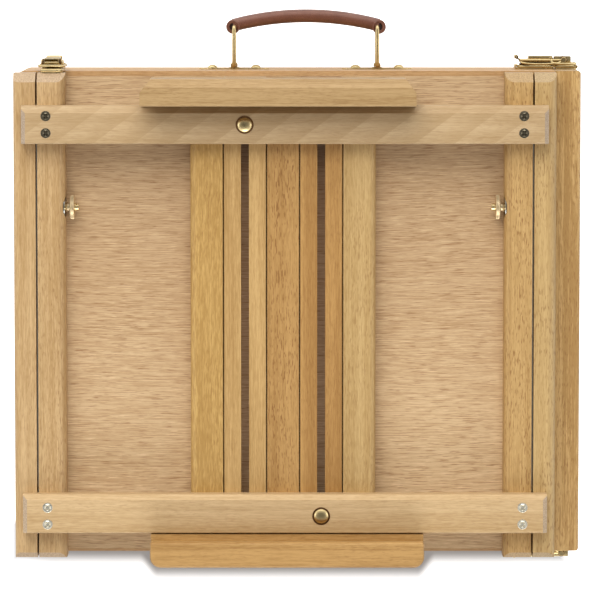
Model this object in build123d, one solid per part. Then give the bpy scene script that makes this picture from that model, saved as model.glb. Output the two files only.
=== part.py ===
from build123d import *

import math
import os

# A table-top sketch-box easel lying on its back, in millimetres.
# X runs along the handle side, Y points to the handle and Z comes up out of the lid.
# The origin is on the outer face of the back panel. "Far" is the handle side, "near" the hinge side.

# Box
HALF_X = 225.0
FAR_Y = 203.0
NEAR_Y = -200.0
BACK_THICK = 4.0
WALL_TOP = 98.0
LONG_WALL = 10.0
SIDE_WALL = 12.0
INNER_Y = (NEAR_Y + LONG_WALL, FAR_Y - LONG_WALL)
CORNER_R = 8.0
SHELF_Z = (60.0, 63.0)
RUNNER_WIDTH = 14.0

# Front strips: rails belong to the box, stiles to the lid
STRIP_HALF_Y = 202.0
STRIP_TOP = 125.0
RAIL_INNER = 206.6
STILE_OUTER = 205.2
STILE_INNER = 182.0
FAR_BEVEL = 7.5
NEAR_BEVEL = 4.5
RAIL_DROP = 0.3
LEFT_RAIL_ROUND = 4.0
RIGHT_RAIL_ROUND = 7.5
ARRIS = 0.6
SOFT_EDGE = 0.9

# Lid
LID_BOTTOM = 98.3
PANEL_Z = (99.0, 103.0)
PANEL_Y = (-197.2, 198.8)
REBATE = 5.0
HINGE_Y = -202.3
HINGE_Z = 98.2
HINGE_X = 90.0
HINGE_LENGTH = 40.0
HINGE_PIN_R = 1.0
KNUCKLE_R = 2.2
KNUCKLE_GAP = 0.3

# Crossbars
BAR_HALF_X = 217.5
BAR_TOP = 142.0
BAR_END_BEVEL = 3.5
TOP_BAR_BEVEL = 6.2
BOTTOM_BAR_BEVEL = 4.2
TOP_BAR_Y = (144.3, 175.8)
BOTTOM_BAR_Y = (-178.8, -146.9)
SCREW_X = 197.0
SCREW_PITCH = 14.0
BOLT_R = 3.0
MAST_BOLT_FOOT_Z = 88.0
BOLT_HEAD = (7.4, 2.6)
TOP_BOLT_Y = 160.2
BOTTOM_BOLT_Y = -164.5

# Masts and their guides
GROUP_X = -1.6
SLOT_OFFSET = 31.6
MAST_WIDTH = 35.0
MAST_GAP = 0.8
GUIDE_WIDTH = 27.0
MAST_Z = (103.4, 124.6)
SLOT_WIDTH = 6.6
SLOT_Y = (-152.0, 152.0)
SLOT_PAST_BOLT = 6.0
MAST_FOOT_Y = -176.0
MAST_HEAD_Y = 173.0
GUIDE_ROUND = 6.0
MAST_X = (GROUP_X - SLOT_OFFSET, GROUP_X + SLOT_OFFSET)
HALF_MAST = MAST_WIDTH / 2 + MAST_GAP
GUIDE_X = {
    "guide_left": (MAST_X[0] - HALF_MAST - GUIDE_WIDTH, MAST_X[0] - HALF_MAST),
    "guide_centre": (MAST_X[0] + HALF_MAST, MAST_X[1] - HALF_MAST),
    "guide_right": (MAST_X[1] + HALF_MAST, MAST_X[1] + HALF_MAST + GUIDE_WIDTH),
}

# Canvas clamp and ledge
HOLDER_TOP = 173.0
HOLDER_LENGTH = 226.0
CLAMP_X = -5.6
CLAMP_Y = (176.4, 198.6)
LEDGE_X = 1.8
LEDGE_Y = (-203.3, -179.8)
GROOVE_Z = (142.0, 165.0)
GROOVE_DEPTH = 9.0
LEDGE_CORNER_R = 9.0
LIP_DROP = 2.2
CLAMP_CUT = (9.0, 12.5)
CLAMP_BEVEL = 6.8

# Lid stays
STAY_X = (205.5, 206.3)
STAY_Z = 114.0
STAY_PIVOT_Y = -141.5
STAY_BOLT_Y = 90.6
STAY_WIDTH = 12.0
STAY_REACH = 286.0
STAY_SLOT = (226.0, 283.0)
STAY_PIN_R = 2.5
STAY_BOLT_END = 171.5
WASHER_X = (182.6, 184.0)
WASHER_R = 8.5

# Running clearance round pins and bolts
RUN = 0.05

# Drawer
DRAWER_BACK_X = -204.0
FRONT_X = (225.5, 246.5)
DRAWER_Y = (-189.5, 192.5)
DRAWER_Z = (6.3, 58.0)
DRAWER_SIDE = 9.0
DRAWER_BOTTOM = 3.0
DIVIDER = 6.0
DRAWER_IN_Y = (DRAWER_Y[0] + DRAWER_SIDE, DRAWER_Y[1] - DRAWER_SIDE)
DRAWER_IN_X = (DRAWER_BACK_X + DRAWER_SIDE, FRONT_X[0])
FLOOR_Z = (DRAWER_Z[0], DRAWER_Z[0] + DRAWER_BOTTOM)
DIVIDER_Z = (FLOOR_Z[1], 50.0)
LONG_DIVIDER_Y = (-2.0, -2.0 + DIVIDER)
NEAR_DIVIDER_X = (-60.0, -60.0 + DIVIDER)
FAR_DIVIDER_X = (80.0, 80.0 + DIVIDER)

# Handle
HANDLE_Z = 49.0
LOOP_X = (-43.0, 77.5)
LOOP_FOOT_Y = 206.2
LOOP_TOP_Y = 239.0
LOOP_WIRE_R = 1.65
LOOP_HALF_Z = 10.6
GRIP_RISE = 9.4
GRIP_HALF = (5.5, 7.6)
GRIP_END_R = 6.4
GRIP_HOLE_R = 2.9
PLATE_THICK = 1.0
PLATE_HALF = 29.5
PLATE_SCREW = 18.3
PLATE_HALF_Z = 6.5
PLATE_SCREW_HEAD = (4.2, 2.8)
EYE_R = 3.0

# Draw latches, in their own frame: X towards the keeper, Y across, Z away from the wood
LATCH_PIVOT = (9.5, 8.0)
BAIL_PIVOT = (-1.0, 8.4)
BAIL_BAR = (19.6, 5.4)
BAIL_HALF = 10.0
BAIL_R = 0.95
LEVER_HALF = 8.0
LEVER_Z = (6.5, 12.5)
SHEET = 1.0
DRAWER_LATCHES = ("drawer_far", "drawer_near")
KEEPER_SEATS = {"drawer_far": 0.0, "drawer_near": 0.0, "lid": STRIP_HALF_Y - FAR_Y}
LATCHES = {
    "drawer_far": Plane(origin=(HALF_X, FAR_Y, HANDLE_Z), x_dir=(1, 0, 0), z_dir=(0, 1, 0)),
    "drawer_near": Plane(origin=(HALF_X, NEAR_Y, HANDLE_Z), x_dir=(1, 0, 0), z_dir=(0, -1, 0)),
    "lid": Plane(origin=(-193.5, FAR_Y, WALL_TOP), x_dir=(0, 0, 1), z_dir=(0, 1, 0)),
}


def block(x, y, z):
    """A box between two limits on each axis."""
    size = [b - a for a, b in (x, y, z)]
    middle = [(a + b) / 2 for a, b in (x, y, z)]
    return Pos(*middle) * Box(*size)


def mirrored(limits, side):
    """Limits given for the +X side, on the side asked for."""
    low, high = limits
    return (low, high) if side > 0 else (-high, -low)


def rod(start, end, radius):
    """A cylinder between two points."""
    start = Vector(*start)
    run = Vector(*end) - start
    foot = Plane(origin=start, z_dir=run)
    return foot * Cylinder(radius, run.length, align=(Align.CENTER, Align.CENTER, Align.MIN))


def prism(plane, points, length):
    """A polygon drawn on a plane and extruded along its normal."""
    return extrude(plane * make_face(Polyline(*points, close=True)), length)


def edge_towards(shape, axis, direction):
    """The edge parallel to an axis that lies furthest in a direction."""
    along = Vector(*direction)
    return shape.edges().filter_by(axis).sort_by(lambda e: e.center().dot(along))[-1]


def across_x(x):
    """A plane at x whose own axes are Y and Z."""
    return Plane.YZ.offset(x)


def dome(radius, height):
    """A spherical cap standing on z = 0."""
    ball = (radius**2 + height**2) / (2 * height)
    across = (-radius, radius)
    return Pos(0, 0, height - ball) * Sphere(ball) & block(across, across, (0, height))


def cut_end(shape, x, y_end, top, size, side):
    """Slopes the end of a strip at 45 degrees, from its end face up to its front face."""
    corner = [
        (y_end + side, top - size - 1),
        (y_end + side, top + 1),
        (y_end - side * (size + 1), top + 1),
    ]
    return shape - prism(across_x(x[0] - 1), corner, x[1] - x[0] + 2)


def solids(*shapes):
    return Compound(children=[s for shape in shapes for s in shape.solids()])


# Box


def back_panel():
    panel = block((-HALF_X, HALF_X), (NEAR_Y, FAR_Y), (0, BACK_THICK))
    corners = panel.edges().filter_by(Axis.Z).group_by(Axis.X)[0]
    return fillet(corners, CORNER_R)


def long_wall(outer, inner):
    wall = block((-HALF_X, HALF_X), tuple(sorted((outer, inner))), (BACK_THICK, WALL_TOP))
    side = 1 if outer > inner else -1
    return fillet(edge_towards(wall, Axis.Z, (-1, side * 0.01, 0)), CORNER_R)


def drawer_runners():
    strip = (DRAWER_BACK_X, HALF_X - 1)
    rise = (BACK_THICK, DRAWER_Z[0] - 0.3)
    near = block(strip, (INNER_Y[0], INNER_Y[0] + RUNNER_WIDTH), rise)
    far = block(strip, (INNER_Y[1] - RUNNER_WIDTH, INNER_Y[1]), rise)
    return solids(near, far)


def strip(x, z, rounds, ends):
    """A long front strip with its two front edges rounded and both ends sloped."""
    shape = block(x, (-STRIP_HALF_Y, STRIP_HALF_Y), z)
    for direction, radius in zip((-1, 1), rounds):
        shape = fillet(edge_towards(shape, Axis.Y, (direction, 0, 1)), radius)
    shape = cut_end(shape, x, STRIP_HALF_Y, z[1], ends[0], 1)
    return cut_end(shape, x, -STRIP_HALF_Y, z[1], ends[1], -1)


def rail(side, outer_round):
    x = mirrored((RAIL_INNER, HALF_X), side)
    rounds = (ARRIS, outer_round) if side > 0 else (outer_round, ARRIS)
    shape = strip(x, (WALL_TOP, STRIP_TOP - RAIL_DROP), rounds, (FAR_BEVEL, NEAR_BEVEL))
    return shape - stay_pivot(side, RUN / 2)


def stay_pivot(side, extra=0.0):
    depth = RAIL_INNER + 8.0
    start = (side * STAY_X[0], STAY_PIVOT_Y, STAY_Z)
    return rod(start, (side * depth, STAY_PIVOT_Y, STAY_Z), STAY_PIN_R + extra)


# Lid


def stay_bolt(side, extra=0.0):
    """A countersunk threaded bolt through a stile, flush outside and long inside."""
    head_r = 6.0
    head = 3.0
    face = Plane(origin=(side * STILE_OUTER, STAY_BOLT_Y, STAY_Z), z_dir=(-side, 0, 0))
    shank = rod((0, 0, 1), (0, 0, STILE_OUTER - STAY_BOLT_END), BOLT_R + extra)
    standing = (Align.CENTER, Align.CENTER, Align.MIN)
    return face * (shank + Cone(head_r + extra, BOLT_R + extra, head, align=standing))


def stay_washer(side):
    start = (side * WASHER_X[0], STAY_BOLT_Y, STAY_Z)
    end = (side * WASHER_X[1], STAY_BOLT_Y, STAY_Z)
    return rod(start, end, WASHER_R) - rod(start, end, BOLT_R + RUN)


def stile(side):
    x = mirrored((STILE_INNER, STILE_OUTER), side)
    rounds = (CORNER_R, ARRIS) if side > 0 else (ARRIS, CORNER_R)
    shape = strip(x, (LID_BOTTOM, STRIP_TOP), rounds, (FAR_BEVEL, NEAR_BEVEL))
    rebate = mirrored((STILE_INNER - 1, STILE_INNER + REBATE), side)
    shape -= block(rebate, PANEL_Y, (LID_BOTTOM - 1, PANEL_Z[1]))
    open_side = (side * (STILE_INNER - 1), STAY_BOLT_Y, STAY_Z)
    seat = rod(open_side, (side * WASHER_X[1], STAY_BOLT_Y, STAY_Z), WASHER_R + 0.5)
    shape -= seat + stay_bolt(side, RUN)
    for y in (TOP_BOLT_Y, BOTTOM_BOLT_Y):
        shape -= bar_screws(y, RUN)
    return shape


def guide(name):
    shape = block(GUIDE_X[name], (BOTTOM_BAR_Y[0], TOP_BAR_Y[1]), (PANEL_Z[1], STRIP_TOP))
    outward = {"guide_left": -1, "guide_right": 1}
    for way in (-1, 1):
        radius = GUIDE_ROUND if outward.get(name) == way else SOFT_EDGE
        shape = fillet(edge_towards(shape, Axis.Y, (way, 0, 1)), radius)
    return shape


def lid_panel():
    half = STILE_INNER + REBATE
    panel = block((-half, half), PANEL_Y, PANEL_Z)
    for x, y in zip(MAST_X, (TOP_BOLT_Y, BOTTOM_BOLT_Y)):
        panel -= mast_bolt(x, y, RUN)
    return panel


def bar_screw(x, y, extra=0.0):
    """A countersunk cross-head screw, its head flush with the front of a crossbar."""
    head_r = 4.4
    depth = 2.6
    top = BAR_TOP + 0.2
    shank = rod((x, y, top - depth), (x, y, STRIP_TOP - 9), 1.9 + extra)
    head = Pos(x, y, top - depth / 2) * Cone(1.9 + extra, head_r + extra, depth)
    return head + shank


def cross_recess(x, y):
    """The cross-shaped driver recess of a screw head."""
    arm = 2.7
    thin = 0.5
    top = (BAR_TOP - 1.3, BAR_TOP + 1)
    along = block((x - arm, x + arm), (y - thin, y + thin), top)
    return along + block((x - thin, x + thin), (y - arm, y + arm), top)


def screw_places(y):
    return [(side * SCREW_X, y + step * SCREW_PITCH / 2) for side in (-1, 1) for step in (-1, 1)]


def bar_screws(y, extra=0.0):
    return solids(*[bar_screw(x, row, extra) for x, row in screw_places(y)])


def recessed_screws(y):
    return solids(*[bar_screw(x, row) - cross_recess(x, row) for x, row in screw_places(y)])


def mast_bolt(x, y, extra=0.0):
    """A dome-headed bolt that runs through a crossbar, a mast's slot and the panel."""
    shank = rod((x, y, MAST_BOLT_FOOT_Z), (x, y, BAR_TOP), BOLT_R + extra)
    return shank + Pos(x, y, BAR_TOP) * dome(*BOLT_HEAD)


def crossbar(y, bolt_x, bolt_y, bevel):
    bar = block((-BAR_HALF_X, BAR_HALF_X), y, (STRIP_TOP, BAR_TOP))
    bar = chamfer(edge_towards(bar, Axis.X, (0, 1, 1)), bevel)
    for side in (-1, 1):
        bar = chamfer(edge_towards(bar, Axis.Y, (side, 0, 1)), BAR_END_BEVEL)
    bar = fillet(edge_towards(bar, Axis.X, (0, -1, 1)), SOFT_EDGE)
    return bar - mast_bolt(bolt_x, bolt_y, RUN) - bar_screws(bolt_y, RUN)


def thumb_nut():
    """A round thumb nut along +Z from its seat: a hub, then a wide disc."""
    hub = rod((0, 0, 0), (0, 0, 3.8), 4.0)
    disc = rod((0, 0, 3.7), (0, 0, 7.5), 10.0)
    disc = chamfer(disc.edges().filter_by(GeomType.CIRCLE), 0.5)
    return hub + disc - rod((0, 0, -1), (0, 0, 9), BOLT_R + RUN)


def side_nut(side):
    seat = WASHER_X[0] - 0.3
    return Plane(origin=(side * seat, STAY_BOLT_Y, STAY_Z), z_dir=(-side, 0, 0)) * thumb_nut()


def mast_nut(x, y):
    return Plane(origin=(x, y, PANEL_Z[0] - 0.3), z_dir=(0, 0, -1)) * thumb_nut()


# Hinges


def knuckle(x, radius, bore):
    start = (x[0], HINGE_Y, HINGE_Z)
    end = (x[1], HINGE_Y, HINGE_Z)
    return rod(start, end, radius) - rod(start, end, bore)


def hinge_sections(centre):
    """The three knuckle stretches of a hinge: outer, middle, outer."""
    third = HINGE_LENGTH / 3
    cuts = [centre - HINGE_LENGTH / 2 + i * third for i in range(4)]
    middle = (cuts[1] + KNUCKLE_GAP / 2, cuts[2] - KNUCKLE_GAP / 2)
    return [(cuts[0], cuts[1] - KNUCKLE_GAP / 2), middle, (cuts[2] + KNUCKLE_GAP / 2, cuts[3])]


def box_leaf(centre):
    first, _, last = hinge_sections(centre)
    leaf = block((first[0], last[1]), (NEAR_Y - SHEET, NEAR_Y), (78, HINGE_Z - KNUCKLE_R - 0.4))
    for x in (first, last):
        leaf += block(x, (NEAR_Y - SHEET, NEAR_Y), (90, HINGE_Z - 0.3))
        leaf += knuckle(x, KNUCKLE_R, HINGE_PIN_R + 0.02)
    return leaf


def lid_leaf(centre):
    first, middle, last = hinge_sections(centre)
    z = (LID_BOTTOM, PANEL_Z[0])
    bore = HINGE_PIN_R + RUN
    leaf = block((first[0], last[1]), (HINGE_Y + KNUCKLE_R + 0.4, -187), z)
    tab = block(middle, (HINGE_Y, -195), z)
    hole = rod((middle[0], HINGE_Y, HINGE_Z), (middle[1], HINGE_Y, HINGE_Z), bore)
    return leaf + (tab - hole) + knuckle(middle, KNUCKLE_R, bore)


def hinge_pin(centre):
    half = HINGE_LENGTH / 2
    return rod((centre - half, HINGE_Y, HINGE_Z), (centre + half, HINGE_Y, HINGE_Z), HINGE_PIN_R)


# Masts, clamp and ledge


def mast(x, y):
    shape = block((x - MAST_WIDTH / 2, x + MAST_WIDTH / 2), y, MAST_Z)
    for way in (-1, 1):
        shape = fillet(edge_towards(shape, Axis.Y, (way, 0, 1)), 1.0)
    return shape


def mast_slot(x, low, high):
    middle = (low + high) / 2
    outline = Pos(x, middle, MAST_Z[0] - 1) * SlotOverall(high - low, SLOT_WIDTH, rotation=90)
    return extrude(outline, MAST_Z[1] - MAST_Z[0] + 2)


def upper_mast():
    x = MAST_X[0]
    slot = mast_slot(x, SLOT_Y[0], TOP_BOLT_Y + SLOT_PAST_BOLT)
    return mast(x, (MAST_FOOT_Y, CLAMP_Y[1])) - slot


def lower_mast():
    x = MAST_X[1]
    slot = mast_slot(x, BOTTOM_BOLT_Y - SLOT_PAST_BOLT, SLOT_Y[1])
    return mast(x, (LEDGE_Y[0] + 1, MAST_HEAD_Y)) - slot


def holder_x(centre):
    return (centre - HOLDER_LENGTH / 2, centre + HOLDER_LENGTH / 2)


def upper_clamp():
    """The block that grips a canvas's top edge, grooved underneath."""
    x = holder_x(CLAMP_X)
    shape = block(x, CLAMP_Y, (MAST_Z[1], HOLDER_TOP))
    shape = fillet(edge_towards(shape, Axis.X, (0, -1, 1)), SOFT_EDGE)
    shape = chamfer(edge_towards(shape, Axis.X, (0, 1, 1)), CLAMP_BEVEL)
    for side, end in zip((-1, 1), x):
        corner = [
            (end - side * CLAMP_CUT[0], CLAMP_Y[1] + 1),
            (end + side, CLAMP_Y[1] - CLAMP_CUT[1]),
            (end + side, CLAMP_Y[1] + 1),
        ]
        shape -= prism(Plane.XY.offset(MAST_Z[1] - 1), corner, HOLDER_TOP - MAST_Z[1] + 2)
    return shape - block((x[0] - 1, x[1] + 1), (CLAMP_Y[0] - 1, CLAMP_Y[0] + GROOVE_DEPTH), GROOVE_Z)


def lower_ledge():
    """The shelf that carries a canvas's bottom edge, grooved on top, with a lower front lip."""
    x = holder_x(LEDGE_X)
    shape = block(x, LEDGE_Y, (MAST_Z[1], HOLDER_TOP))
    shape = fillet([edge_towards(shape, Axis.Z, (side, -1, 0)) for side in (-1, 1)], LEDGE_CORNER_R)
    shape = fillet(edge_towards(shape, Axis.X, (0, -1, 1)), 2 * SOFT_EDGE)
    across = (x[0] - 1, x[1] + 1)
    shape -= block(across, (LEDGE_Y[1] - GROOVE_DEPTH, LEDGE_Y[1] + 1), GROOVE_Z)
    shape -= block(across, (LEDGE_Y[1] - LIP_DROP, LEDGE_Y[1] + 1), (GROOVE_Z[1] - 1, HOLDER_TOP + 1))
    return fillet(edge_towards(shape, Axis.X, (0, 0.2, 1)), 2.5)


# Lid stays


def stay(side):
    """A flat slotted bar that pivots on a rail and lies between rail and stile."""
    plane = across_x(mirrored(STAY_X, side)[0])
    r = STAY_WIDTH / 2
    thick = STAY_X[1] - STAY_X[0]
    bar = plane * Pos(STAY_PIVOT_Y + STAY_REACH / 2, STAY_Z) * SlotOverall(STAY_REACH + 2 * r, STAY_WIDTH)
    slot_middle = STAY_PIVOT_Y + sum(STAY_SLOT) / 2
    slot = plane * Pos(slot_middle, STAY_Z) * SlotOverall(STAY_SLOT[1] - STAY_SLOT[0], SLOT_WIDTH)
    hole = plane * Pos(STAY_PIVOT_Y, STAY_Z) * Circle(STAY_PIN_R + RUN)
    return extrude(bar - slot - hole, thick)


# Drawer


def drawer_front():
    front = block(FRONT_X, (NEAR_Y, FAR_Y), (1, WALL_TOP - 1))
    outer = front.edges().group_by(Axis.X)[-1]
    return fillet(outer, 2.5)


def drawer_sides():
    x = (DRAWER_BACK_X, FRONT_X[0])
    near = block(x, (DRAWER_Y[0], DRAWER_Y[0] + DRAWER_SIDE), DRAWER_Z)
    far = block(x, (DRAWER_Y[1] - DRAWER_SIDE, DRAWER_Y[1]), DRAWER_Z)
    return solids(near, far)


def drawer_dividers():
    """One divider along the drawer and a cross divider on each side of it."""
    long = block(DRAWER_IN_X, LONG_DIVIDER_Y, DIVIDER_Z)
    near = block(NEAR_DIVIDER_X, (DRAWER_IN_Y[0], LONG_DIVIDER_Y[0]), DIVIDER_Z)
    far = block(FAR_DIVIDER_X, (LONG_DIVIDER_Y[1], DRAWER_IN_Y[1]), DIVIDER_Z)
    return solids(long, near, far)


# Handle


def handle_plate(x):
    """A thin plate with pointed ends and a tunnel that holds the foot of a wire loop."""
    outline = [
        (x - PLATE_HALF, HANDLE_Z - 2),
        (x - PLATE_SCREW, HANDLE_Z - PLATE_HALF_Z),
        (x + PLATE_SCREW, HANDLE_Z - PLATE_HALF_Z),
        (x + PLATE_HALF, HANDLE_Z - 2),
        (x + PLATE_HALF, HANDLE_Z + 2),
        (x + PLATE_SCREW, HANDLE_Z + PLATE_HALF_Z),
        (x - PLATE_SCREW, HANDLE_Z + PLATE_HALF_Z),
        (x - PLATE_HALF, HANDLE_Z + 2),
    ]
    base = Plane(origin=(0, FAR_Y + PLATE_THICK, 0), x_dir=(1, 0, 0), z_dir=(0, -1, 0))
    plate = prism(base, outline, PLATE_THICK)
    low = (x, LOOP_FOOT_Y, HANDLE_Z - PLATE_HALF_Z)
    high = (x, LOOP_FOOT_Y, HANDLE_Z + PLATE_HALF_Z)
    walls = block((x - EYE_R, x + EYE_R), (FAR_Y + PLATE_THICK, LOOP_FOOT_Y), (low[2], high[2]))
    return plate + (walls + rod(low, high, EYE_R)) - rod(low, high, LOOP_WIRE_R + RUN)


def plate_screws():
    face = Plane(origin=(0, FAR_Y + PLATE_THICK, HANDLE_Z), x_dir=(1, 0, 0), z_dir=(0, 1, 0))
    places = [x + way * PLATE_SCREW for x in LOOP_X for way in (-1, 1)]
    return solids(*[face * Pos(x, 0, 0) * dome(*PLATE_SCREW_HEAD) for x in places])


def handle_loop(x):
    """A closed wire loop that stands in the plane across the handle."""
    low = HANDLE_Z - LOOP_HALF_Z
    high = HANDLE_Z + LOOP_HALF_Z
    corners = [(x, LOOP_FOOT_Y, low), (x, LOOP_FOOT_Y, high), (x, LOOP_TOP_Y, high), (x, LOOP_TOP_Y, low)]
    path = FilletPolyline(*corners, radius=3.0, close=True)
    section = Plane(origin=path @ 0, z_dir=path % 0) * Circle(LOOP_WIRE_R)
    return sweep(section, path=path)


def handle_grip():
    """An arched grip of oval section whose ends roll round the wire loops."""
    middle = sum(LOOP_X) / 2
    half = (LOOP_X[1] - LOOP_X[0]) / 2 + 0.6
    ends = (middle - half, middle + half)
    end_y = LOOP_TOP_Y - 0.5
    arch_r = (half**2 + GRIP_RISE**2) / (2 * GRIP_RISE)
    centre = (middle, end_y + GRIP_RISE - arch_r, HANDLE_Z)
    turn = math.degrees(math.asin(half / arch_r))
    section = Plane(origin=centre, x_dir=(0, 1, 0), z_dir=(1, 0, 0)) * Pos(arch_r, 0) * Ellipse(*GRIP_HALF)
    spin = Axis(centre, (0, 0, 1))
    grip = revolve(section.rotate(spin, -turn), spin, 2 * turn)
    low = HANDLE_Z - GRIP_HALF[1]
    high = HANDLE_Z + GRIP_HALF[1]
    for end in ends:
        grip += rod((end, end_y, low - 0.4), (end, end_y, high + 0.4), GRIP_END_R)
    for x in LOOP_X:
        grip -= rod((x, LOOP_TOP_Y, low - 1), (x, LOOP_TOP_Y, high + 1), GRIP_HOLE_R)
    return grip


# Draw latches


def latch_pin(extra=0.0):
    x, z = LATCH_PIVOT
    reach = LEVER_HALF + 0.3
    pin = rod((x, -reach, z), (x, reach, z), 1.2 + extra)
    if not extra:
        for way in (-1, 1):
            pin += rod((x, way * reach, z), (x, way * (reach + 0.6), z), 2.0)
    return pin


def latch_base():
    """A base plate with two ears that lean over the joint and carry the lever."""
    base = block((-32, 0), (-9, 9), (0, SHEET))
    base += rod((-31, -9, 2.4), (-31, 9, 2.4), 2.0)
    side = [(-12, SHEET / 2), (-1, SHEET / 2), (12, 5.2), (12, 10.3), (7, 10.3), (-12, 3)]
    for y in (-4.8, 5.8):
        base += prism(Plane.XZ.offset(-y), side, SHEET)
    return base - latch_pin(0.02)


def latch_lever():
    """A folded sheet lever, open underneath, with a turned-up finger tip."""
    low, high = LEVER_Z
    lever = block((-27, 15), (-LEVER_HALF, LEVER_HALF), LEVER_Z)
    lever -= block((-28, 16), (SHEET - LEVER_HALF, LEVER_HALF - SHEET), (low - 1, high - SHEET))
    lever -= prism(Plane.XZ.offset(10), [(-28, low - 1), (-28, high - 1.5), (-20, low - 1)], -20)
    tip = [(-34, high + 2.2), (-26, high - SHEET), (-26, high), (-34, high + 2.2 + SHEET)]
    lever += prism(Plane.XZ.offset(LEVER_HALF), tip, -2 * LEVER_HALF)
    x, z = BAIL_PIVOT
    return lever - latch_pin(RUN) - rod((x, -9, z), (x, 9, z), BAIL_R + RUN)


def latch_bail():
    """A bent wire that turns in the lever and reaches over the keeper."""
    inner = LEVER_HALF - SHEET - 0.6
    x, z = BAIL_PIVOT
    far_x, far_z = BAIL_BAR
    route = [
        (x, -inner, z),
        (x, -BAIL_HALF, z),
        (far_x, -BAIL_HALF, far_z),
        (far_x, BAIL_HALF, far_z),
        (x, BAIL_HALF, z),
        (x, inner, z),
    ]
    path = FilletPolyline(*route, radius=[1.3] * 4)
    section = Plane(origin=route[0], z_dir=(0, -1, 0)) * Circle(BAIL_R)
    return sweep(section, path=path)


def latch_keeper(seat):
    """A plate with an upright lip that the bail reaches over, and a rolled outer end."""
    keeper = block((1, 21), (-8.5, 8.5), (seat, seat + SHEET))
    keeper += block((16.9, 18.1), (-8.5, 8.5), (seat, 4.0))
    return keeper + rod((20.4, -8.5, seat + 1.6), (20.4, 8.5, seat + 1.6), 1.1)


def latch_screws(xs, half, seat):
    return [Pos(x, way * half, seat + SHEET) * dome(1.9, 1.0) for x in xs for way in (-1, 1)]


def placed(names, make):
    return solids(*[LATCHES[name] * shape for name in names for shape in make(name)])


def keeper_screws(name):
    return latch_screws((7, 13), 3.2, KEEPER_SEATS[name])


def build():
    tray_x = (SIDE_WALL - HALF_X, HALF_X - SIDE_WALL)
    nodes = {
        "back_panel": back_panel(),
        "far_wall": long_wall(FAR_Y, INNER_Y[1]),
        "near_wall": long_wall(NEAR_Y, INNER_Y[0]),
        "left_wall": block((-HALF_X, tray_x[0]), INNER_Y, (BACK_THICK, WALL_TOP)),
        "upper_right_wall": block((tray_x[1], HALF_X), INNER_Y, (SHELF_Z[0], WALL_TOP)),
        "palette_shelf": block(tray_x, INNER_Y, SHELF_Z),
        "drawer_runners": drawer_runners(),
        "rail_left": rail(-1, LEFT_RAIL_ROUND),
        "rail_right": rail(1, RIGHT_RAIL_ROUND),
        "stay_pivots": solids(stay_pivot(-1), stay_pivot(1)),
        "hinge_box_leaves": solids(box_leaf(-HINGE_X), box_leaf(HINGE_X)),
        "hinge_pins": solids(hinge_pin(-HINGE_X), hinge_pin(HINGE_X)),
        "hinge_lid_leaves": solids(lid_leaf(-HINGE_X), lid_leaf(HINGE_X)),
        "stile_left": stile(-1),
        "stile_right": stile(1),
        "lid_panel": lid_panel(),
        "crossbar_top": crossbar(TOP_BAR_Y, MAST_X[0], TOP_BOLT_Y, TOP_BAR_BEVEL),
        "crossbar_bottom": crossbar(BOTTOM_BAR_Y, MAST_X[1], BOTTOM_BOLT_Y, BOTTOM_BAR_BEVEL),
        "top_crossbar_screws": recessed_screws(TOP_BOLT_Y),
        "bottom_crossbar_screws": recessed_screws(BOTTOM_BOLT_Y),
        "mast_bolts": solids(*[mast_bolt(x, y) for x, y in zip(MAST_X, (TOP_BOLT_Y, BOTTOM_BOLT_Y))]),
        "stay_bolts": solids(stay_bolt(-1), stay_bolt(1)),
        "stay_washers": solids(stay_washer(-1), stay_washer(1)),
        "upper_mast_nut": mast_nut(MAST_X[0], TOP_BOLT_Y),
        "lower_mast_nut": mast_nut(MAST_X[1], BOTTOM_BOLT_Y),
        "thumb_nut_left": side_nut(-1),
        "thumb_nut_right": side_nut(1),
        "stay_left": stay(-1),
        "stay_right": stay(1),
        "upper_mast": upper_mast(),
        "upper_clamp": upper_clamp(),
        "lower_mast": lower_mast(),
        "lower_ledge": lower_ledge(),
        "drawer_front": drawer_front(),
        "drawer_sides": drawer_sides(),
        "drawer_back": block((DRAWER_BACK_X, DRAWER_IN_X[0]), DRAWER_IN_Y, DRAWER_Z),
        "drawer_bottom": block(DRAWER_IN_X, DRAWER_IN_Y, FLOOR_Z),
        "drawer_dividers": drawer_dividers(),
        "handle_plates": solids(*[handle_plate(x) for x in LOOP_X]),
        "handle_screws": plate_screws(),
        "handle_loop_left": handle_loop(LOOP_X[0]),
        "handle_loop_right": handle_loop(LOOP_X[1]),
        "handle_grip": handle_grip(),
        "latch_bases": placed(LATCHES, lambda name: [latch_base()]),
        "latch_pins": placed(LATCHES, lambda name: [latch_pin()]),
        "latch_screws": placed(LATCHES, lambda name: latch_screws((-24, -14), 5.0, 0.0)),
        "drawer_keepers": placed(DRAWER_LATCHES, lambda name: [latch_keeper(KEEPER_SEATS[name])]),
        "drawer_keeper_screws": placed(DRAWER_LATCHES, keeper_screws),
        "lid_keeper": placed(("lid",), lambda name: [latch_keeper(KEEPER_SEATS[name])]),
        "lid_keeper_screws": placed(("lid",), keeper_screws),
    }
    for name in LATCHES:
        nodes[name + "_lever"] = placed((name,), lambda _: [latch_lever()])
        nodes[name + "_bail"] = placed((name,), lambda _: [latch_bail()])
    for name in GUIDE_X:
        nodes[name] = guide(name)
    return nodes


os.makedirs("parts", exist_ok=True)
for node, shape in build().items():
    export_step(shape, f"parts/{node}.step")
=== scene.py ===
import math

import bmesh
import bpy
from mathutils import Matrix, Vector

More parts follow.
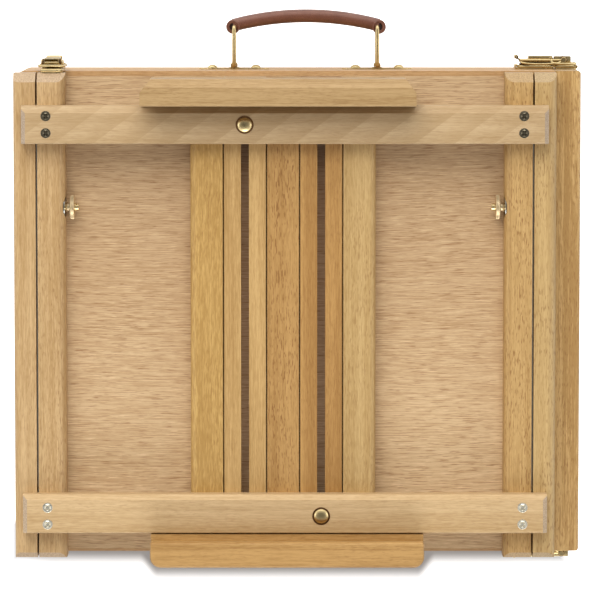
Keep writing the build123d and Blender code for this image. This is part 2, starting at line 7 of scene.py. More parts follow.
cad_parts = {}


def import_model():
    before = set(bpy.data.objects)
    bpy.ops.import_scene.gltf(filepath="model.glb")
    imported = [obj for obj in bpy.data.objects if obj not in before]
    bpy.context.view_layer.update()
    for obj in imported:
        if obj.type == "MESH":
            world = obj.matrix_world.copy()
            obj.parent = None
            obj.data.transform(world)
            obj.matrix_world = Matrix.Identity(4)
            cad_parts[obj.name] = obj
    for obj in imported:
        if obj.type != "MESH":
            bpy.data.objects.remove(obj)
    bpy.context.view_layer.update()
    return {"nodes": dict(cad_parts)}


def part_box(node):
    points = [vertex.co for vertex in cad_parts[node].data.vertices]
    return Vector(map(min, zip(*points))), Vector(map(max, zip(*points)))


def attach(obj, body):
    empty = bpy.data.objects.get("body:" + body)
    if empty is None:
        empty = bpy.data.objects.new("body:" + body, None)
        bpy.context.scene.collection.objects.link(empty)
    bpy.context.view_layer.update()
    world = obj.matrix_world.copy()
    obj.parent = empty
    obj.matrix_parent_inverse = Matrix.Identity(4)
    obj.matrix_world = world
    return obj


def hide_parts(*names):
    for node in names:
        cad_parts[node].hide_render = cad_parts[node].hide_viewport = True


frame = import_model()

# Looks for a beech sketch-box easel lying on its back.
# The mesh builders take millimetres; node scales, the floor and the lights are in metres.
MM = 0.001

# Driving sizes in millimetres, and how far the grip's rolled ends turn
BAR_TOP = 142.0
CROSSBAR_SCREW_R = 4.4
DOME_R = 6.1
COLLAR_R = 7.4
GRIP_RADIAL = 5.75
GRIP_WIDE = 7.5
GRIP_ABOVE_ROLL = 1.3
ROLL_OUT = 0.95
ROLL_SHIFT = 0.3
ROLL_TURNS = 1.6
ROLL_START = math.radians(112)
SHADE_CORE_R = 3.9
SHADE_CORE_HALF = 6.6
WIRE_BEND = 3.2
PLATE_SCREW_R = 4.2

# Lid panel: where its painted shade lies along Y, in metres, and how strong it is, towards the far side and
# along the tracks under the masts
SHADE_START = 0.12
SHADE_END = -0.16
FAR_EDGE = 0.155
FAR_SHADE_TINT = (0.83, 0.80, 0.78, 1.0)
SLOT_SHADE_TINT = (0.81, 0.75, 0.76, 1.0)

# End grain against the wood's mean tone
END_LIGHT = (1.02, 1.10, 1.46)
END_DARK = (0.70, 0.73, 0.90)

# Floor: its painted contact shadow beside the object's near side and its half width, in metres,
# and the strength that lifts the rest of it to white
NEAR_SIDE = -0.2145
SHADOW_DEPTH = 0.018
LEDGE_MIDDLE = 0.0018
LEDGE_EDGE = (0.128, 0.112)
LEDGE_OUT = 0.0135
SHADOW_END = (0.228, 0.250)
FLOOR_LIFT = 1.05
FLOOR_HALF = 6.0

# How brightly the surround shows in shiny surfaces, by direction
MIRRORED_AHEAD = 2.3
MIRRORED_BESIDE = 0.8
MIRRORED_ABOVE = 0.10

# What the lights are aimed at, in metres
LIT = Vector((0, 0, 0.1))

# Camera
AIM = Vector((8.7, 14.0, 125.0)) * MM
TILT = math.radians(5)
DISTANCE = 3513 * MM
LENS = 254
SENSOR = 36

# For each way the grain can run: the turn that lays it along X, and its direction
ALONG = {"x": (0, 0, 0), "y": (0, 0, -math.pi / 2)}
GRAIN_AXIS = {"x": (1, 0, 0), "y": (0, 1, 0)}


# Node trees


class Look:
    """A material whose nodes are added with short calls."""

    def __init__(self, name, **sockets):
        self.material = bpy.data.materials.new(name)
        self.material.use_nodes = True
        self.tree = self.material.node_tree
        self.shader = self.tree.nodes["Principled BSDF"]
        for socket, value in sockets.items():
            self.shader.inputs[socket.replace("_", " ").title()].default_value = value

    def add(self, kind, inputs=(), **settings):
        node = self.tree.nodes.new(kind)
        for key, value in settings.items():
            setattr(node, key, value)
        for key, value in dict(inputs).items():
            if isinstance(value, bpy.types.NodeSocket):
                self.tree.links.new(value, node.inputs[key])
            else:
                node.inputs[key].default_value = value
        return node

    def link(self, output, socket):
        self.tree.links.new(output, self.shader.inputs[socket])

    def place(self, grain="x", seed=0.0):
        """Object coordinates turned so that the grain runs along X, moved to a place of its own."""
        coords = self.add("ShaderNodeTexCoord")
        shift = (0.731 * seed % 5, 1.377 * seed % 5, 2.119 * seed % 5)
        turn = {"Vector": coords.outputs["Object"], "Rotation": ALONG[grain], "Location": shift}
        return self.add("ShaderNodeMapping", turn).outputs[0]

    def noise(self, where, scale, detail, rough=0.5):
        """Noise with its own number of features per metre along each axis."""
        stretched = self.add("ShaderNodeVectorMath", {0: where, 1: scale}, operation="MULTIPLY")
        inputs = {"Vector": stretched.outputs[0], "Scale": 1.0, "Detail": detail, "Roughness": rough}
        return self.add("ShaderNodeTexNoise", inputs).outputs["Fac"]

    def warp(self, where, scale, amount):
        """Moves coordinates about by a smooth noise."""
        stretched = self.add("ShaderNodeVectorMath", {0: where, 1: scale}, operation="MULTIPLY")
        inputs = {"Vector": stretched.outputs[0], "Scale": 1.0, "Detail": 1.0}
        cloud = self.add("ShaderNodeTexNoise", inputs).outputs["Color"]
        centred = self.add("ShaderNodeVectorMath", {0: cloud, 1: (0.5, 0.5, 0.5)}, operation="SUBTRACT")
        sized = self.add("ShaderNodeVectorMath", {0: centred.outputs[0], 1: amount}, operation="MULTIPLY")
        return self.add("ShaderNodeVectorMath", {0: where, 1: sized.outputs[0]}, operation="ADD").outputs[0]

    def ramp(self, value, low, high, to_low=0.0, to_high=1.0):
        inputs = {"Value": value, "From Min": low, "From Max": high, "To Min": to_low, "To Max": to_high}
        return self.add("ShaderNodeMapRange", inputs, interpolation_type="SMOOTHSTEP").outputs[0]

    def math(self, operation, a, b):
        return self.add("ShaderNodeMath", {0: a, 1: b}, operation=operation).outputs[0]

    def mix(self, factor, a, b, blend="MIX"):
        inputs = {"Factor": factor, "A": a, "B": b}
        node = self.add("ShaderNodeMix", data_type="RGBA", blend_type=blend)
        for key, value in inputs.items():
            socket = [s for s in node.inputs if s.name == key and (key == "Factor") == (s.type == "VALUE")
                      and s.type in ("VALUE", "RGBA")][0]
            if isinstance(value, bpy.types.NodeSocket):
                self.tree.links.new(value, socket)
            else:
                socket.default_value = value
        return [s for s in node.outputs if s.type == "RGBA"][0]

    def bump(self, height, distance, strength):
        inputs = {"Height": height, "Distance": distance, "Strength": strength}
        self.link(self.add("ShaderNodeBump", inputs).outputs[0], "Normal")


def colour(red, green, blue):
    """A colour given as it looks on a screen, 0 to 255, in linear light."""
    def linear(v):
        v /= 255
        return v / 12.92 if v <= 0.04045 else ((v + 0.055) / 1.055) ** 2.4
    return (linear(red), linear(green), linear(blue), 1.0)


# Wood


def tinted(tone, gains):
    return tuple(min(1.0, c * g) for c, g in zip(tone, gains)) + (1.0,)


def beech(name, grain, seed, tone, flecks=0.5, lines=1.0, strokes=0.5, wave=0.004, contrast=1.0, figure=None):
    """Satin beech around a mean tone: soft bands and lines along the grain, with short brown flecks."""
    look = Look(name)
    light = tinted(tone, (1.16, 1.19, 1.27))
    dark = tinted(tone, (0.80, 0.74, 0.64))
    base = look.place(grain, seed)
    where = look.warp(base, (5, 14, 14), (0, wave, wave))
    bands = look.noise(where, (1.6, 38, 38), 2.0)
    rings = look.noise(where, (3.5, 190, 190), 3.0, 0.6)
    fine = look.noise(where, (24, 1150, 1150), 2.0, 0.6)
    stroke = look.noise(where, (110, 900, 900), 2.0, 0.55)
    fibre = look.noise(where, (70, 3200, 3200), 1.0)
    total = look.ramp(bands, 0.32, 0.68, -0.06, 0.34)
    for layer, low, high, weight in (
        (rings, 0.34, 0.66, 0.30 * lines),
        (fine, 0.32, 0.68, 0.30 * lines),
        (stroke, 0.36, 0.66, 0.55 * strokes),
        (fibre, 0.3, 0.7, 0.10),
    ):
        total = look.math("ADD", total, look.ramp(layer, low, high, 0, weight))
    middle = 0.14 + 0.30 * lines + 0.275 * strokes + 0.05
    tones = look.math("MULTIPLY", look.math("SUBTRACT", total, middle), contrast)
    shade = look.mix(look.math("ADD", tones, 0.5), light, dark)
    if figure is not None:
        shade = look.mix(diagonal_figure(look, base, figure), shade, dark)
    dashes = look.noise(where, (190, 1150, 1150), 1.0, 0.4)
    patches = look.noise(where, (12, 60, 60), 1.0)
    fleck = look.math("MULTIPLY", look.ramp(dashes, 0.55, 0.68), look.ramp(patches, 0.30, 0.62, 0.3, 1.0))
    brown = tinted(tone, (0.50, 0.36, 0.24))
    shade = look.mix(look.math("MULTIPLY", fleck, flecks), shade, brown)
    speckle = look.ramp(look.noise(base, (900, 900, 900), 2.0, 0.6), 0.3, 0.7)
    end_tone = look.mix(speckle, tinted(tone, END_DARK), tinted(tone, END_LIGHT))
    shade = look.mix(end_grain(look, grain), shade, end_tone)
    look.link(shade, "Base Color")
    look.link(look.ramp(fine, 0.2, 0.8, 0.40, 0.58), "Roughness")
    height = look.math("SUBTRACT", fine, look.math("MULTIPLY", fleck, 0.8))
    look.bump(look.math("ADD", height, look.math("MULTIPLY", fibre, 0.4)), 0.00006, 0.6)
    return look.material


def end_grain(look, grain):
    """How far a surface cuts across the grain: 0 on long faces, 1 on bevelled and square ends."""
    coords = look.add("ShaderNodeTexCoord")
    inputs = {0: coords.outputs["Normal"], 1: GRAIN_AXIS[grain]}
    facing = look.add("ShaderNodeVectorMath", inputs, operation="DOT_PRODUCT")
    return look.ramp(look.math("ABSOLUTE", facing.outputs["Value"], 0.0), 0.45, 0.72)


def diagonal_figure(look, where, start):
    """Broad slanting bands that come in beyond a place along the grain."""
    place = look.add("ShaderNodeSeparateXYZ", {0: where})
    slant = look.math("SUBTRACT", place.outputs["X"], look.math("MULTIPLY", place.outputs["Y"], 1.35))
    slanted = look.add("ShaderNodeCombineXYZ", {"X": slant}).outputs[0]
    inputs = {"Vector": slanted, "Scale": 9.5, "Distortion": 0.5}
    wave = look.add("ShaderNodeTexWave", inputs, wave_profile="SAW").outputs["Fac"]
    present = look.ramp(place.outputs["X"], start, start + 0.05)
    return look.math("MULTIPLY", look.ramp(wave, 0.0, 1.0, 0, 0.5), present)


def paint_panel_shade(look, shade, tracks):
    """Paints shade on an outer face: darker towards the far side, and along tracks, spans of X in metres
    under the masts, where the slots lie in shade.
    """
    coords = look.add("ShaderNodeTexCoord")
    place = look.add("ShaderNodeSeparateXYZ", {0: coords.outputs["Object"]})
    facing = look.add("ShaderNodeSeparateXYZ", {0: coords.outputs["Normal"]})
    outer = look.ramp(facing.outputs["Z"], 0.3, 0.6)
    across, along = place.outputs["X"], place.outputs["Y"]
    # Painted shade: the face darker towards the far side, less so beyond the far edge
    beyond_bar = look.ramp(along, FAR_EDGE, FAR_EDGE + 10 * MM, 0, 0.4)
    paler = look.math("MAXIMUM", look.ramp(along, SHADE_START, SHADE_END), beyond_bar)
    paler = look.math("MAXIMUM", paler, look.math("SUBTRACT", 1.0, outer))
    shade = look.mix(paler, look.mix(1.0, shade, FAR_SHADE_TINT, "MULTIPLY"), shade)
    # Painted shade along each track under a mast, for the shade down in the slots
    for start, end in tracks:
        inside = look.math("MULTIPLY", look.ramp(across, start, start + MM), look.ramp(across, end, end - MM))
        inside = look.math("MULTIPLY", inside, outer)
        shade = look.mix(inside, shade, look.mix(1.0, shade, SLOT_SHADE_TINT, "MULTIPLY"))
    return shade


def veneer(name, grain, seed, tone, tracks):
    """Open-grained plywood: many thin wavy lines along the grain, broken into short strokes."""
    look = Look(name)
    light = tinted(tone, (1.13, 1.16, 1.20))
    dark = tinted(tone, (0.84, 0.78, 0.71))
    base = look.place(grain, seed)
    where = look.warp(base, (3.5, 7, 7), (0, 0.014, 0.014))
    broad = look.noise(where, (1.5, 11, 11), 2.0)
    lines = look.noise(where, (20, 950, 950), 3.0, 0.65)
    pores = look.noise(where, (75, 1400, 1400), 2.0, 0.55)
    tones = look.math("ADD", look.ramp(broad, 0.3, 0.7, -0.05, 0.32), look.ramp(lines, 0.36, 0.64, 0, 0.75))
    shade = look.mix(tones, light, dark)
    pore = look.ramp(pores, 0.55, 0.68)
    shade = look.mix(look.math("MULTIPLY", pore, 0.9), shade, tinted(tone, (0.58, 0.46, 0.36)))
    pale = look.ramp(pores, 0.43, 0.32)
    shade = look.mix(look.math("MULTIPLY", pale, 0.7), shade, tinted(tone, (1.3, 1.37, 1.46)))
    # Painted shade on the lid panel's face
    if tracks:
        shade = paint_panel_shade(look, shade, tracks)
    look.link(shade, "Base Color")
    look.link(look.ramp(lines, 0.2, 0.8, 0.48, 0.66), "Roughness")
    look.bump(look.math("SUBTRACT", lines, look.math("MULTIPLY", pore, 0.7)), 0.00007, 0.6)
    return look.material


# Mean tones of the woods, 0 to 255
PALE = (190, 160, 116)
CREAM = (186, 154, 108)
SAND = (184, 148, 103)
STRAW = (181, 150, 98)
WHEAT = (180, 145, 91)
GOLD = (184, 148, 86)
HONEY = (170, 131, 76)
AMBER = (168, 127, 71)
# A pale tone darkened as painted shade, used for the top crossbar
SHADED_PALE = (178, 151, 112)
DULL = (160, 130, 86)

# Each wooden sub-part: the way its grain runs, its mean tone, and what its figure is like
WOODS = {
    "rail_left": ("y", CREAM, {"flecks": 0.3, "contrast": 1.5}),
    "stile_left": ("y", CREAM, {"flecks": 0.5, "contrast": 1.6}),
    "rail_right": ("y", STRAW, {"flecks": 0.75, "lines": 1.3}),
    "stile_right": ("y", WHEAT, {"flecks": 0.75, "lines": 1.3, "contrast": 1.2}),
    "guide_left": ("y", GOLD, {"flecks": 0.4, "strokes": 1.0, "contrast": 1.35}),
    "guide_centre": ("y", HONEY, {"flecks": 0.8, "strokes": 0.7, "contrast": 1.15}),
    "guide_right": ("y", STRAW, {"flecks": 0.45, "strokes": 0.7}),
    "upper_mast": ("y", WHEAT, {"flecks": 0.2, "contrast": 1.5}),
    "lower_mast": ("y", AMBER, {"flecks": 0.35, "contrast": 1.5}),
    # The top crossbar's tone carries painted shade
    "crossbar_top": ("x", SHADED_PALE, {"flecks": 0.2, "figure": 0.08, "wave": 0.007, "contrast": 1.1}),
    "crossbar_bottom": ("x", PALE, {"flecks": 0.2, "wave": 0.007, "contrast": 1.1}),
    "upper_clamp": ("x", DULL, {"flecks": 0.25, "contrast": 1.7}),
    "lower_ledge": ("x", HONEY, {"flecks": 0.3, "lines": 1.3, "contrast": 1.6}),
    "drawer_front": ("y", WHEAT, {"flecks": 0.6, "lines": 1.8, "contrast": 3.0}),
    "far_wall": ("x", SAND, {"flecks": 0.35}),
    "near_wall": ("x", SAND, {"flecks": 0.35}),
    "left_wall": ("y", SAND, {"flecks": 0.35}),
    "upper_right_wall": ("y", SAND, {"flecks": 0.35}),
    "drawer_runners": ("x", SAND, {}),
    "drawer_sides": ("x", SAND, {}),
    "drawer_back": ("y", SAND, {}),
    "drawer_dividers": ("x", SAND, {}),
}

# Plywood: its mean tone, and the way each panel's face grain runs
PLY = (197, 167, 127)
PANELS = {"lid_panel": "x", "back_panel": "x", "palette_shelf": "x", "drawer_bottom": "x"}


# Metal and leather


def metal(name, tint, rough, wear):
    """Metal with faint polishing lines and slightly duller, darker patches."""
    look = Look(name, metallic=1.0)
    where = look.place("x", len(name))
    patches = look.noise(where, (120, 120, 120), 3.0, 0.6)
    lines = look.noise(where, (90, 900, 900), 2.0)
    dull = tinted(tint, (0.7, 0.68, 0.62))
    look.link(look.mix(look.ramp(patches, 0.45, 0.75, 0, wear), tuple(tint) + (1.0,), dull), "Base Color")
    dulled = look.ramp(patches, 0.3, 0.7, rough, rough + 0.12)
    look.link(look.math("ADD", dulled, look.ramp(lines, 0, 1, 0, 0.08)), "Roughness")
    look.bump(look.math("ADD", lines, patches), 0.00001, 0.4)
    return look.material


def leather(name, tone):
    """Softly shining leather with a fine pebbled grain."""
    look = Look(name, coat_weight=0.4, coat_roughness=0.28)
    where = look.place("x", 3)
    cells = look.add("ShaderNodeTexVoronoi", {"Vector": where, "Scale": 1400.0}, feature="DISTANCE_TO_EDGE")
    crease = look.ramp(cells.outputs["Distance"], 0.0, 0.22)
    clouds = look.noise(where, (90, 90, 90), 3.0)
    dark = tinted(tone, (0.5, 0.42, 0.38))
    shade = look.mix(look.ramp(clouds, 0.35, 0.75, 0, 0.6), tuple(tone), dark)
    look.link(look.mix(crease, dark, shade), "Base Color")
    look.link(look.ramp(clouds, 0.3, 0.7, 0.36, 0.5), "Roughness")
    look.bump(crease, 0.00006, 0.4)
    return look.material


BRASS = metal("polished_brass", (0.68, 0.53, 0.27), 0.2, 0.6)
STEEL = metal("bright_steel", (0.58, 0.58, 0.53), 0.25, 0.3)
ZINC = metal("pale_zinc", (0.74, 0.70, 0.58), 0.34, 0.4)
BRONZE = metal("dark_bronze", (0.17, 0.145, 0.10), 0.3, 0.5)
NUT_BRASS = metal("satin_brass", (0.72, 0.58, 0.36), 0.36, 0.3)
# Near-black brass for parts that stand for shade: painted shade in the rings round the bolt domes and in the
# latches' hollows
SHADE_BRASS = metal("shaded_brass", (0.17, 0.09, 0.04), 0.5, 0.5)
HIDE = leather("brown_leather", colour(122, 76, 56))
# Near-black leather: painted shade inside the grip's rolled ends
SHADE_HIDE = leather("shaded_leather", colour(44, 24, 18))
METALS = {"stay_washers": STEEL, "stay_left": STEEL, "stay_right": STEEL}


def set_material(piece, material):
    piece.data.materials.clear()
    piece.data.materials.append(material)


def dress_nodes():
    """Gives every CAD node its material."""
    seed = 0
    masts = [[corner.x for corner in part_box(mast)] for mast in ("upper_mast", "lower_mast")]
    for name, node in frame["nodes"].items():
        seed += 1
        if name in WOODS:
            grain, tone, more = WOODS[name]
            set_material(node, beech("beech_" + name, grain, seed, colour(*tone), **more))
        elif name in PANELS:
            tracks = masts if name == "lid_panel" else ()
            set_material(node, veneer("ply_" + name, PANELS[name], seed, colour(*PLY), tracks))
        else:
            set_material(node, METALS.get(name, BRASS))


# Meshes: each builder adds one closed shell to a bmesh


def spot(x, y, z):
    return Vector((x, y, z)) * MM


def rings_to_shell(bm, rings, closed=False):
    """Joins rings of points into a tube, capped unless it closes on itself."""
    rows = [[bm.verts.new(p) for p in ring] for ring in rings]
    pairs = list(zip(rows, rows[1:])) + ([(rows[-1], rows[0])] if closed else [])
    for low, high in pairs:
        for i in range(len(low)):
            j = (i + 1) % len(low)
            bm.faces.new((low[i], low[j], high[j], high[i]))
    if not closed:
        bm.faces.new(reversed(rows[0]))
        bm.faces.new(rows[-1])


def lathe(bm, place, profile, steps, ripple=None):
    """A solid of revolution about the Z axis of a placement; the profile runs from axis to axis as (r, z)."""
    rows = []
    for r, z in profile:
        if r == 0:
            rows.append([bm.verts.new(place @ spot(0, 0, z))])
            continue
        turned = []
        for i in range(steps):
            angle = 2 * math.pi * i / steps
            radius = r * (1 + (ripple(i, z) if ripple else 0))
            turned.append(bm.verts.new(place @ spot(radius * math.cos(angle), radius * math.sin(angle), z)))
        rows.append(turned)
    for low, high in zip(rows, rows[1:]):
        for i in range(steps):
            j = (i + 1) % steps
            corners = [low[i % len(low)], low[j % len(low)], high[j % len(high)], high[i % len(high)]]
            unique = list(dict.fromkeys(corners))
            if len(unique) > 2:
                bm.faces.new(unique)


def ring_profile(outer, inner, low, high, soft):
    """A closed washer-like section, as a loop of (r, z)."""
    return [
        (inner, low + soft), (inner + soft, low), (outer - soft, low), (outer, low + soft),
        (outer, high - soft), (outer - soft, high), (inner + soft, high), (inner, high - soft),
    ]


def revolved(place, loop, steps):
    """Copies of a closed loop of (r, z) turned about the Z axis of a placement."""
    sections = []
    for i in range(steps):
        angle = 2 * math.pi * i / steps
        sections.append([place @ spot(r * math.cos(angle), r * math.sin(angle), z) for r, z in loop])
    return sections


def ring(bm, place, outer, inner, low, high, soft, steps):
    rings_to_shell(bm, revolved(place, ring_profile(outer, inner, low, high, soft), steps), closed=True)


def sweep(bm, place, path, section, closed=False):
    """A section of (across, up) points carried along a path of (x, y, z) points."""
    points = [Vector(p) for p in path]
    count = len(points)
    rings = []
    side = None
    for i, point in enumerate(points):
        before = points[(i - 1) % count] if closed or i else point
        after = points[(i + 1) % count] if closed or i < count - 1 else point
        ahead = (after - before).normalized()
        if side is None:
            up = Vector((0, 0, 1)) if abs(ahead.z) < 0.9 else Vector((0, 1, 0))
            side = up.cross(ahead).normalized()
        else:
            side = (side - ahead * side.dot(ahead)).normalized()
        up = ahead.cross(side)
        rings.append([place @ ((point + side * a + up * b) * MM) for a, b in section])
    rings_to_shell(bm, rings, closed)


def circle(radius, steps):
    turns = [2 * math.pi * i / steps for i in range(steps)]
    return [(radius * math.cos(t), radius * math.sin(t)) for t in turns]


def rod(bm, place, start, end, radius, steps):
    """A rod whose two ends are softened."""
    start, end = Vector(start), Vector(end)
    run = end - start
    turn = run.to_track_quat("Z", "Y").to_matrix().to_4x4()
    where = place @ Matrix.Translation(start * MM) @ turn
    soft = radius * 0.3
    profile = [(0, 0), (radius - soft, 0), (radius, soft), (radius, run.length - soft)]
    lathe(bm, where, profile + [(radius - soft, run.length), (0, run.length)], steps)


def slab(bm, place, x, y, z, soft):
    """A box with softened edges."""
    shell = bmesh.new()
    bmesh.ops.create_cube(shell, size=1.0)
    for vert in shell.verts:
        vert.co = Vector(
            (limits[0] + (c + 0.5) * (limits[1] - limits[0])) for c, limits in zip(vert.co, (x, y, z))
        )
    bmesh.ops.bevel(shell, geom=list(shell.edges), offset=soft, segments=2, profile=0.6, affect="EDGES")
    add_shell(bm, shell, place)


def sheet(bm, place, outline, low, high, soft=0.25):
    """A plate with a polygonal outline, softened along its rims."""
    shell = bmesh.new()
    face = shell.faces.new([shell.verts.new((x, y, low)) for x, y in outline])
    grown = bmesh.ops.extrude_face_region(shell, geom=[face])
    for vert in (v for v in grown["geom"] if isinstance(v, bmesh.types.BMVert)):
        vert.co.z = high
    bmesh.ops.recalc_face_normals(shell, faces=shell.faces)
    rims = [e for e in shell.edges if abs(e.verts[0].co.z - e.verts[1].co.z) < 1e-6]
    bmesh.ops.bevel(shell, geom=rims, offset=soft, segments=2, profile=0.6, affect="EDGES")
    add_shell(bm, shell, place)


def add_shell(bm, shell, place):
    """Moves a shell built in millimetres into place and adds it to a bmesh in metres."""
    bmesh.ops.scale(shell, vec=(MM, MM, MM), verts=shell.verts)
    bmesh.ops.transform(shell, matrix=place, verts=shell.verts)
    mesh = bpy.data.meshes.new("shell")
    shell.to_mesh(mesh)
    shell.free()
    bm.from_mesh(mesh)
    bpy.data.meshes.remove(mesh)


def piece(name, bm, body, material, slot, replaced=(), sharp=38):
    """Makes a mesh object of the shells and lets it ride on a body."""
    bmesh.ops.recalc_face_normals(bm, faces=bm.faces)
    mesh = bpy.data.meshes.new(name)
    bm.to_mesh(mesh)
    bm.free()
    mesh.shade_smooth()
    mesh.set_sharp_from_angle(angle=math.radians(sharp))
    made = bpy.data.objects.new(name, mesh)
    bpy.context.collection.objects.link(made)
    set_material(made, material)
    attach(made, body)
    if replaced:
        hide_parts(*replaced)


def placement(origin, x_axis, z_axis):
    """A frame at a point in millimetres, from its own X and Z directions."""
    x, z = Vector(x_axis), Vector(z_axis)
    y = z.cross(x)
    turn = Matrix((x, y, z)).transposed().to_4x4()
    return Matrix.Translation(Vector(origin) * MM) @ turn


# Screws and bolts


def cross_screw(bm, x, y, top, radius):
    """A countersunk head with a deep cross recess, its rim a little below the wood."""
    arm, thin, sunk, steps = radius * 0.62, radius * 0.20, 1.6, 48
    quarter = [(arm, -thin), (arm, thin), (thin * 1.5, thin * 1.5)]
    outline = []
    for turn in range(4):
        c, s = math.cos(turn * math.pi / 2), math.sin(turn * math.pi / 2)
        outline += [(c * u - s * v, s * u + c * v) for u, v in quarter]
    around = circle(1.0, steps)
    rows = []
    for share, drop in ((0.5, 2.4), (1.0, 0.7), (0.93, 0.15), (0.84, 0.0)):
        r = radius * share
        rows.append([bm.verts.new(spot(x + r * u, y + r * v, top - drop)) for u, v in around])
    for low, high in zip(rows, rows[1:]):
        for i in range(steps):
            j = (i + 1) % steps
            bm.faces.new((low[i], low[j], high[j], high[i]))
    bm.faces.new(reversed(rows[0]))
    lip = [bm.verts.new(spot(x + u, y + v, top - 0.25)) for u, v in outline]
    foot = [bm.verts.new(spot(x + u * 0.45, y + v * 0.6, top - sunk)) for u, v in outline]
    for i in range(len(lip)):
        j = (i + 1) % len(lip)
        bm.faces.new((lip[j], lip[i], foot[i], foot[j]))
    bm.faces.new(foot)
    rims = []
    for loop in (rows[-1], lip):
        for a, b in zip(loop, loop[1:] + loop[:1]):
            rims.append(bm.edges.get((a, b)) or bm.edges.new((a, b)))
    bmesh.ops.triangle_fill(bm, edges=rims, use_beauty=True)


def corner_centres(name, inset):
    """The four middles of equal round heads whose node fills the corners of its box."""
    low, high = (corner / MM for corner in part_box(name))
    return [(x, y) for x in (low.x + inset, high.x - inset) for y in (low.y + inset, high.y - inset)]


def crossbar_screws(name, material, slot):
    """The four screw heads of one crossbar, a hair above the wood."""
    bm = bmesh.new()
    for x, y in corner_centres(name, CROSSBAR_SCREW_R):
        cross_screw(bm, x, y, BAR_TOP + 0.05, CROSSBAR_SCREW_R)
    piece(name + "_look", bm, "lid", material, slot, [name])


def mast_bolt_heads():
    """Polished domes, each in a dark shallow ring of painted shade, standing for the shade in the recess
    round the dome.
    """
    low, high = (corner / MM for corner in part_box("mast_bolts"))
    domes, shade_rings = bmesh.new(), bmesh.new()
    for x, y in ((low.x + COLLAR_R, high.y - COLLAR_R), (high.x - COLLAR_R, low.y + COLLAR_R)):
        where = placement((x, y, BAR_TOP), (1, 0, 0), (0, 0, 1))
        dome = [(DOME_R * math.sin(a), 0.2 + 2.3 * math.cos(a)) for a in quarter_turn(12)]
        lathe(domes, where, [(0, -0.4), (DOME_R, -0.4)] + dome + [(0, 2.5)], 56)
        rod(domes, where, (0, 0, -54), (0, 0, -0.3), 3.0, 24)
        # This ring is painted shade
        ring(shade_rings, where, COLLAR_R, 6.0, -0.3, 0.45, 0.2, 56)
    piece("mast_bolt_looks", domes, "lid", BRASS, "brass", ["mast_bolts"])
    piece("mast_bolt_shade_rings", shade_rings, "lid", SHADE_BRASS, "brass")


def quarter_turn(steps):
    """Angles from the rim of a dome towards its top."""
    return [math.pi / 2 * (1 - i / steps) for i in range(steps)]


# Thumb nuts


def thumb_nut(name):
    """A knurled disc on a waisted hub, with a chamfered rim."""
    low, high = (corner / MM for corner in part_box(name))
    middle = (low + high) / 2
    spans = high - low
    if spans.z < spans.x:
        axis, seat = (0, 0, -1), (middle.x, middle.y, high.z)
    else:
        side = 1 if middle.x > 0 else -1
        axis, seat = (-side, 0, 0), (high.x if side > 0 else low.x, middle.y, middle.z)
    across = (0, 1, 0) if axis[0] else (1, 0, 0)
    where = placement(seat, across, axis)
    bm = bmesh.new()
    teeth = 54

    def notch(i, z):
        return -0.035 if i % 4 < 2 and 4.5 < z < 6.8 else 0

    hub = [(0, 0.1), (3.9, 0.1), (4.2, 0.5), (3.5, 1.6), (3.6, 3.2), (5.0, 3.75)]
    disc = [(9.0, 3.75), (9.5, 3.95), (10.0, 4.6), (10.0, 6.7), (9.5, 7.3), (9.0, 7.5)]
    face = [(6.2, 7.5), (5.6, 7.1), (3.2, 7.0), (0, 7.0)]
    lathe(bm, where, hub + disc + face, teeth * 4, notch)
    piece(name + "_look", bm, name, NUT_BRASS, "brass", [name], sharp=30)


def washers():
    """Thin dished washers between the nuts and the stiles."""
    low, high = (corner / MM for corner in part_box("stay_washers"))
    middle = (low + high) / 2
    bm = bmesh.new()
    for side, x in ((-1, low.x), (1, high.x)):
        where = placement((x - side * 0.1, middle.y, middle.z), (0, 1, 0), (-side, 0, 0))
        section = [(8.5, 0.55), (8.5, 1.0), (4.4, 0.65), (4.4, 0.1)]
        rings_to_shell(bm, revolved(where, section, 40), closed=True)
    piece("stay_washer_looks", bm, "lid", STEEL, "zinc_screw", ["stay_washers"])


# Handle


def grip():
    """A bowed leather bar of oval section, with a strap rolled at each end round a near-black core that is
    painted shade inside the roll.
    """
    low, high = (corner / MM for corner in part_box("handle_grip"))
    nodes = ("handle_loop_left", "handle_loop_right")
    left, right = (sum(corner[0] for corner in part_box(n)) / 2 / MM for n in nodes)
    mid_x, mid_z = (left + right) / 2 + ROLL_SHIFT, (low.z + high.z) / 2
    end_y = low.y + 6.4
    rise = high.y - GRIP_RADIAL - end_y - GRIP_ABOVE_ROLL
    half = (right - left) / 2 + ROLL_OUT
    bow = (half * half + rise * rise) / (2 * rise)
    centre_y = high.y - GRIP_RADIAL - bow
    turn = math.asin(half / bow)
    steps = 72
    rings = []
    for i in range(steps + 1):
        t = -1 + 2 * i / steps
        angle = turn * t
        grow = 1 - 0.03 * abs(t) ** 3
        section = []
        for k in range(40):
            phi = 2 * math.pi * k / 40
            out, wide = math.cos(phi), math.sin(phi)
            shape = 1 - 0.05 * max(0.0, -out) ** 6
            radial = GRIP_RADIAL * grow * shape * math.copysign(abs(out) ** 0.85, out)
            section.append((radial, GRIP_WIDE * math.copysign(abs(wide) ** 0.8, wide)))
        rings.append([
            spot(mid_x + (bow + r) * math.sin(angle), centre_y + (bow + r) * math.cos(angle), mid_z + z)
            for r, z in section
        ])
    bm = bmesh.new()
    rings_to_shell(bm, rings)
    # Near-black cores: painted shade inside the rolls
    roll_shades = bmesh.new()
    for way in (-1, 1):
        roll(bm, mid_x + way * half, end_y, mid_z, way)
        x = mid_x + way * half
        rod(roll_shades, Matrix(), (x, end_y, mid_z - SHADE_CORE_HALF), (x, end_y, mid_z + SHADE_CORE_HALF), SHADE_CORE_R, 24)
    piece("grip_roll_shade_looks", roll_shades, "handle_grip", SHADE_HIDE, "leather")
    piece("grip_look", bm, "handle_grip", HIDE, "leather", ["handle_grip"], sharp=50)


